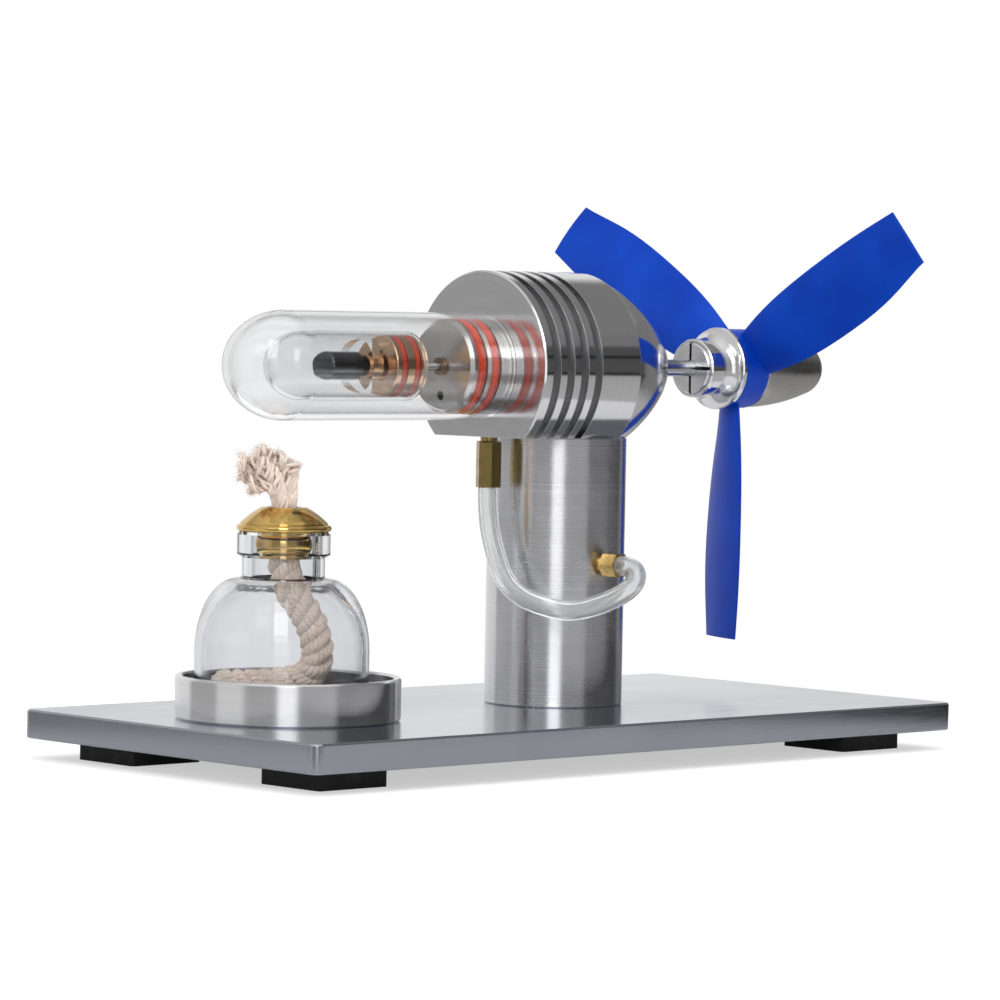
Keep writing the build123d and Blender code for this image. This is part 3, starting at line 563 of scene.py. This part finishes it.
def cotton():
    """Soft twisted yarn: fibres that run along it on a slant, paler at their crests, with painted shade in the
    hollows between them.
    """
    f = Finish("cotton", sheen_weight=0.35, sheen_roughness=0.5, subsurface_weight=0.3, roughness=0.9)
    f.set("subsurface_scale", 0.8 * MM)
    f.set("subsurface_radius", (1.0, 0.7, 0.5))
    uv = f.node("ShaderNodeUVMap", uv_map="UVMap").outputs["UV"]
    split = f.node("ShaderNodeSeparateXYZ")
    f.put(split.inputs[0], uv)
    slant = f.math("ADD", split.outputs[0], f.math("MULTIPLY", split.outputs[1], 0.45))
    join = f.node("ShaderNodeCombineXYZ")
    f.put(join.inputs[0], f.math("MULTIPLY", slant, 9.0))
    f.put(join.inputs[1], f.math("MULTIPLY", split.outputs[1], 0.5))
    fibres = f.noise(1.0, at=join.outputs[0], detail=4.0, roughness=0.65)
    stain = f.noise(5 * MM, detail=4.0)
    tone = f.mix(f.fit(stain, 0.0, 1.0), (0.90, 0.76, 0.67), (0.96, 0.88, 0.81))
    # Painted shade: the low parts of the fibre noise, where the bump makes hollows, take a darker tan.
    f.set("base_color", f.mix(f.fit(fibres, 0.0, 1.0, (0.35, 0.65)), (0.74, 0.55, 0.45), tone))
    f.set("normal", f.bump(fibres, 0.12 * MM, strength=0.8))
    return f.material


# ---------------------------------------------------------------- paint the CAD nodes
def paint(material, *names):
    for name in names:
        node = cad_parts[name]
        if not node.material_slots:
            node.data.materials.append(material)
        for place in node.material_slots:
            place.material = material


ALUMINIUM = (0.80, 0.80, 0.81)
STEEL = (0.56, 0.56, 0.58)
PALE_STEEL = (0.72, 0.72, 0.74)
PLATE_STEEL = (0.56, 0.575, 0.635)
ALONG_THE_PLATE = (0.04, 1.0, 1.0)
UP_THE_ROD = (1.0, 1.0, 0.1)
COLUMN_FINISH = {"rings": 0.5 * MM, "depth": 0.007 * MM, "spread": 0.92}
BODY_FINISH = {"rings": 0.2 * MM, "depth": 0.003 * MM, "spread": 0.4}
GROOVES_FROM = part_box("finned_body")[0].x + 1.2 * MM
BODY_GROOVES = (GROOVES_FROM - ENGINE_AXIS.x, 19.4 * MM, 21.6 * MM)
BEARINGS = ("front_bearing", "rear_bearing")
BEARING_PARTS = [f"{bearing}_{part}" for bearing in BEARINGS for part in ("outer_ring", "inner_ring", "balls")]

# The plate's cut sides get painted shade, at 0.62 of the top's colour.
paint(brushed("plate_metal", ALONG_THE_PLATE, PLATE_STEEL, 0.16, side=0.62), "base_plate")
paint(foot_rubber(), "rubber_feet")
paint(turned("tray_metal", TRAY_AXIS, UP, ALUMINIUM, 0.17), "lamp_tray")
paint(turned("tray_screw_steel", TRAY_AXIS, UP, STEEL, 0.3), "tray_screw")
paint(turned("column_metal", COLUMN_AXIS, UP, PALE_STEEL, 0.24, **COLUMN_FINISH), "column")
paint(turned("cylinder_steel", COLUMN_AXIS, UP, STEEL, 0.25), "column_screw", "power_cylinder_liner")
paint(turned("piston_metal", COLUMN_AXIS, UP, (0.45, 0.44, 0.43), 0.35), "power_piston")
paint(brushed("conrod_metal", UP_THE_ROD, ALUMINIUM, 0.3), "connecting_rod")
paint(
    turned("body_metal", ENGINE_AXIS, ALONG_X, ALUMINIUM, 0.1, grooves=BODY_GROOVES, **BODY_FINISH),
    "finned_body",
)
paint(turned("housing_metal", ENGINE_AXIS, ALONG_X, ALUMINIUM, 0.1, **BODY_FINISH), "rear_housing")
paint(turned("nose_metal", ENGINE_AXIS, ALONG_X, (0.62, 0.60, 0.58), 0.2, spread=0.7), "cylinder_nose")
paint(
    turned("shaft_steel", ENGINE_AXIS, ALONG_X, STEEL, 0.2),
    "wrist_pin",
    "crank_disc",
    "crank_pin",
    "prop_shaft",
    "bearing_spacer",
    "displacer_rod",
)
paint(turned("dark_steel", ENGINE_AXIS, ALONG_X, (0.16, 0.16, 0.17), 0.1), "rod_end_weight")
paint(turned("bearing_steel", ENGINE_AXIS, ALONG_X, PALE_STEEL, 0.12), *BEARING_PARTS)
paint(turned("collet_metal", ENGINE_AXIS, ALONG_X, ALUMINIUM, 0.24), "prop_collet")
paint(turned("mirror_metal", ENGINE_AXIS, ALONG_X, (0.86, 0.86, 0.87), 0.07, spread=0.3), "collet_backplate")
paint(turned("nut_metal", ENGINE_AXIS, ALONG_X, (0.44, 0.43, 0.42), 0.26, spread=0.6), "spinner_nut")
paint(turned("bush_bronze", ENGINE_AXIS, ALONG_X, (0.30, 0.22, 0.15), 0.28), "displacer_bush")
paint(turned("plug_brass", ENGINE_AXIS, ALONG_X, (0.86, 0.56, 0.34), 0.2), "displacer_plug")
paint(brass("olive_brass", (0.46, 0.34, 0.13), (0.22, 0.17, 0.07), 0.22, 0.8), "upper_hose_fitting")
paint(brass("fitting_brass", (0.70, 0.48, 0.16), (0.34, 0.25, 0.10), 0.24, 0.5), "lower_hose_fitting")
paint(brass("cap_brass", (0.80, 0.54, 0.18), (0.52, 0.32, 0.09), 0.06, 0.5), "lamp_cap")
paint(seal_rubber(), "nose_o_rings", "displacer_o_rings")
paint(
    clear("tube_glass", (0.94, 0.945, 0.95), 1.47, 0.002 * MM, 0.002, rim=0.55),
    "hot_cap",
    "displacer_glass",
)
paint(clear("bottle_glass", (0.86, 0.87, 0.885), 1.5, 0.02 * MM, 0.008, rim=0.4), "lamp_bottle")
paint(clear("washer_plastic", (0.95, 0.955, 0.955), 1.12, 0.01 * MM, 0.04), "rod_washer")
paint(moulded_blue(), "propeller")


# ---------------------------------------------------------------- hose and wick
HOSE_STEP = 0.6 * MM
HOSE_SIDES = 32
WICK_STEP = 0.5 * MM
WICK_FIBRES = 260
PUFF_FIBRES = 4200
TIP_FIBRES = 3200
CURL_YARNS = 8
CURL_STEPS = 48


def add_hose():
    """A hollow silicone tube between the two fittings."""
    line = route_line(HOSE_ROUTE, HOSE_STEP)
    tubes = TubeMesh()
    outer = tubes.rings(line, [HOSE_RADIUS] * len(line), HOSE_SIDES)
    inner = tubes.rings(line, [HOSE_BORE] * len(line), HOSE_SIDES)
    tubes.loft(outer + inner[::-1], looped=True)
    hose = tubes.piece("silicone_tube", silicone_hose(), "frame")
    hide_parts("hose")


def add_wick(material):
    """The cotton rope inside the bottle, from under the cap to where it lies on the floor."""
    rng = random.Random(4)
    line = route_line(WICK_ROUTE, WICK_STEP)
    tubes = TubeMesh()
    add_rope(tubes, line, WICK_RADIUS)
    surface = [helix_on(line, WICK_RADIUS * 0.9, 7 * MM, k / 6) for k in range(6)]
    add_fibres(tubes, rng, surface, WICK_FIBRES, 1.2 * MM)
    wick = tubes.piece("wick_rope", material, "lamp")
    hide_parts("wick_tail")


# Where the tuft's curls end: distance along the lamp's turned direction, across it, and height.
CURL_TIPS = [
    (-10.6, -1.0, 56.6),
    (-10.2, 2.2, 54.2),
    (-7.6, -2.6, 52.0),
    (-8.4, 3.4, 55.6),
    (-7.4, 0.6, 57.8),
    (-5.4, -3.8, 55.8),
    (-4.4, 1.4, 58.4),
    (-3.8, 4.2, 56.6),
    (-1.8, -1.6, 58.0),
    (-0.6, 2.8, 56.6),
    (1.4, -0.6, 56.4),
]


def curl_line(rng, tip):
    """One curl's line: up through the cap, out to the right, then over towards its tip."""
    bottom = (CAP_TOP_Z - DECK_Z) / MM - 4.0
    foot = Vector((tip[0] * 0.26 + 0.6, tip[1] * 0.5, bottom))
    knee = Vector((2.4 + tip[0] * 0.2, tip[1] * 0.8, bottom + 8.0 + rng.uniform(-1.0, 1.0)))
    over = Vector((tip[0] * 0.5, tip[1] * 0.9, tip[2] + rng.uniform(-0.5, 0.5)))
    end = Vector(tip)
    sway = Vector((rng.uniform(-1, 1), rng.uniform(-1, 1), rng.uniform(-1, 1)))
    phase = rng.uniform(0, math.tau)
    line = []
    for i in range(CURL_STEPS + 1):
        share = i / CURL_STEPS
        first = foot.lerp(knee, share).lerp(knee.lerp(over, share), share)
        second = knee.lerp(over, share).lerp(over.lerp(end, share), share)
        spot = first.lerp(second, share) + sway * math.sin(phase + share * 11) * share * 0.6
        line.append(lamp_point(*spot))
    return line


def add_curl(tubes, rng, line):
    """Soft yarns wound loosely round a line, which open out into a curly puff at its end."""
    frames = ring_frames(line)
    last = len(line) - 1
    ends = []
    for k in range(CURL_YARNS):
        start = k / CURL_YARNS + rng.uniform(-0.05, 0.05)
        turns = rng.uniform(1.2, 2.2)
        flare = rng.uniform(0.6, 2.0)
        crimp = rng.uniform(16, 30)
        phase = rng.uniform(0, math.tau)
        yarn = []
        radii = []
        for i, point in enumerate(line):
            share = i / last
            loose = max(0.0, share - 0.35)
            turn = math.tau * (start + turns * share) + loose * 1.5 * math.sin(phase + crimp * share)
            offset = (0.75 + loose * flare + loose * 0.7 * math.cos(phase + crimp * share)) * MM
            side, other = frames[i]
            yarn.append(point + (side * math.cos(turn) + other * math.sin(turn)) * offset)
            radii.append((0.5 - 0.26 * share ** 4 + rng.uniform(-0.05, 0.05)) * MM)
        tubes.loft(tubes.rings(yarn, radii, 8))
        ends.append(yarn[16:])
    return ends


def add_tuft(material):
    """The frayed end above the cap: curls that lean away from the engine, and loose fibres on them."""
    rng = random.Random(11)
    tubes = TubeMesh()
    strands = []
    for tip in CURL_TIPS:
        strands.extend(add_curl(tubes, rng, curl_line(rng, tip)))
    add_fibres(tubes, rng, strands, PUFF_FIBRES, 1.6 * MM)
    add_fibres(tubes, rng, [strand[-9:] for strand in strands], TIP_FIBRES, 1.8 * MM)
    tuft = tubes.piece("wick_tuft", material, "lamp")
    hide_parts("wick_head")


add_hose()
cotton_yarn = cotton()
add_wick(cotton_yarn)
add_tuft(cotton_yarn)


# ---------------------------------------------------------------- floor, world and lamps
FLOOR_RADIUS = 0.18
FLOOR_SIDES = 96
LAMPS_POINT_AT = Vector((0, 0, 0.05))
# The studio's walls, as mirrors show them: height from -1, straight down, to 1, straight up, then brightness.
WALLS = [(-1.0, 0.55), (-0.16, 0.42), (-0.05, 0.36), (0.3, 0.36), (0.6, 0.45), (0.8, 0.65), (1.0, 0.85)]


def direction(azimuth, elevation):
    """A direction to a point of the studio, by its angle from +X towards +Y and its height, in degrees."""
    turn, rise = math.radians(azimuth), math.radians(elevation)
    return Vector((math.cos(turn) * math.cos(rise), math.sin(turn) * math.cos(rise), math.sin(rise)))


# Panels of the studio that show only in reflections: azimuth, elevation, half width, half height
# and soft edge in degrees, then brightness.
PANELS = [
    (75, 8, 37, 26, 8, 0.85),
    (8, 4, 30, 16, 8, 0.20),
    (340, 44, 40, 18, 8, 0.22),
    (318, 21, 38, 7, 4, 0.2),
    (318, 6.5, 38, 12, 2.5, 0.08),
    (318, 9.6, 38, 1.0, 1.5, 0.0),
    (318, -5.0, 38, 1.2, 1.5, 0.0),
    (338, -4, 16, 6, 3, 0.04),
    (150, 30, 35, 24, 10, 0.62),
    (168, -2, 16, 26, 8, 0.72),
    (229, 2, 10, 14, 5, 1.2),
    (227, 38, 9, 22, 2, 4.0),
    (196, 38, 10, 14, 3, 1.3),
]

# What shows white through the glass, in the same angles. Glass that bends the view further shows
# the studio's walls and panels.
BACKDROP = (47, 0, 24, 24, 8)


def add_floor():
    """A pale floor with a soft shadow. Metals mirror it a little darker than it looks."""
    f = Finish("floor_white", roughness=0.7, specular_ior_level=0.0, emission_strength=1.0)
    path = f.node("ShaderNodeLightPath")
    direct = f.math("SUBTRACT", 1.0, path.outputs["Is Transmission Ray"])
    mirrored = f.math("MULTIPLY", path.outputs["Is Glossy Ray"], direct)
    seen = f.mix(f.noise(60 * MM, detail=4.0), (0.48, 0.48, 0.48), (0.50, 0.50, 0.50))
    f.set("base_color", f.mix(mirrored, seen, (0.55, 0.55, 0.56)))
    f.set("emission_color", f.mix(mirrored, (0.52, 0.52, 0.52), (0.0, 0.0, 0.0)))
    turns = [math.tau * k / FLOOR_SIDES for k in range(FLOOR_SIDES)]
    mesh = bpy.data.meshes.new("floor")
    points = [(FLOOR_RADIUS * math.cos(t), FLOOR_RADIUS * math.sin(t), 0) for t in turns]
    mesh.from_pydata(points, [], [tuple(range(FLOOR_SIDES))])
    mesh.materials.append(f.material)
    floor = bpy.data.objects.new("floor", mesh)
    bpy.context.scene.collection.objects.link(floor)


class Sky(Nodes):
    """The world's nodes, with short ways to place light in it."""

    def __init__(self, tree):
        super().__init__(tree)
        self.look = self.node("ShaderNodeTexCoord").outputs["Generated"]

    def along(self, heading):
        """How far the view looks along a direction."""
        return self.vector("DOT_PRODUCT", self.look, heading)

    def inside(self, offset, half, soft):
        """1 where an angle from the middle is under half, falling to 0 over the soft edge."""
        made = self.node("ShaderNodeMapRange", interpolation_type="SMOOTHSTEP")
        for socket, number in zip(made.inputs[:5], (offset, half - soft / 2, half + soft / 2, 1.0, 0.0)):
            self.put(socket, number)
        return made.outputs[0]

    def panel(self, azimuth, elevation, half_width, half_height, soft):
        """1 in a rectangle of the studio, by the angles across it."""
        middle = direction(azimuth, elevation)
        side = direction(azimuth + 90, 0)
        above = middle.cross(side)
        ahead = self.along(middle)
        across = self.math("ABSOLUTE", self.math("ARCTAN2", self.along(side), ahead))
        rise = self.math("ABSOLUTE", self.math("ARCSINE", self.along(above)))
        width = self.inside(across, math.radians(half_width), math.radians(soft))
        height = self.inside(rise, math.radians(half_height), math.radians(soft))
        return self.math("MULTIPLY", width, height)

    def mix(self, share, first, second):
        made = self.node("ShaderNodeMix", data_type="FLOAT")
        self.put(made.inputs[0], share)
        self.put(made.inputs[2], first)
        self.put(made.inputs[3], second)
        return made.outputs[0]


def add_world():
    """A pale studio. What metals and glass mirror has grey walls, dark bands and bright soft boxes."""
    world = bpy.data.worlds.new("studio")
    bpy.context.scene.world = world
    world.use_nodes = True
    tree = world.node_tree
    sky = Sky(tree)
    ramp = tree.nodes.new("ShaderNodeValToRGB")
    sky.put(ramp.inputs[0], sky.math("MULTIPLY_ADD", sky.along(UP), 0.5, 0.5))
    stops = ramp.color_ramp.elements
    while len(stops) < len(WALLS):
        stops.new(0.5)
    for stop, (height, value) in zip(stops, WALLS):
        stop.position = (height + 1) / 2
        stop.color = (value, value, value, 1)
    studio = ramp.outputs[0]
    for *place, brightness in PANELS:
        studio = sky.mix(sky.panel(*place), studio, brightness)
    path = tree.nodes.new("ShaderNodeLightPath")
    mirrored = sky.math("MAXIMUM", path.outputs["Is Glossy Ray"], path.outputs["Is Singular Ray"])
    refracted = path.outputs["Is Transmission Ray"]
    through = sky.mix(sky.panel(*BACKDROP), studio, 1.0)
    shown = sky.mix(refracted, sky.mix(mirrored, 1.0, studio), through)
    shown = sky.mix(path.outputs["Is Camera Ray"], shown, 1.0)
    sky.put(tree.nodes["Background"].inputs["Strength"], shown)
    tree.nodes["Background"].inputs["Color"].default_value = (1, 1, 1, 1)


def add_lamp(name, place, size, power):
    """A soft lamp that points at the engine. Mirrors show the studio's panels in its place."""
    data = bpy.data.lights.new(name, "AREA")
    data.shape = "DISK"
    data.size = size
    data.energy = power
    lamp = bpy.data.objects.new(name, data)
    lamp.location = place
    lamp.rotation_euler = (LAMPS_POINT_AT - place).to_track_quat("-Z", "Y").to_euler()
    lamp.visible_camera = lamp.visible_glossy = lamp.visible_transmission = False
    bpy.context.scene.collection.objects.link(lamp)


add_floor()
add_world()
add_lamp("overhead", Vector((0.1, -0.05, 1.1)), 0.9, 4.0)
add_lamp("front_left", Vector((-0.8, -0.55, 0.8)), 0.5, 4.0)
bpy.context.scene.view_settings.view_transform = "Standard"
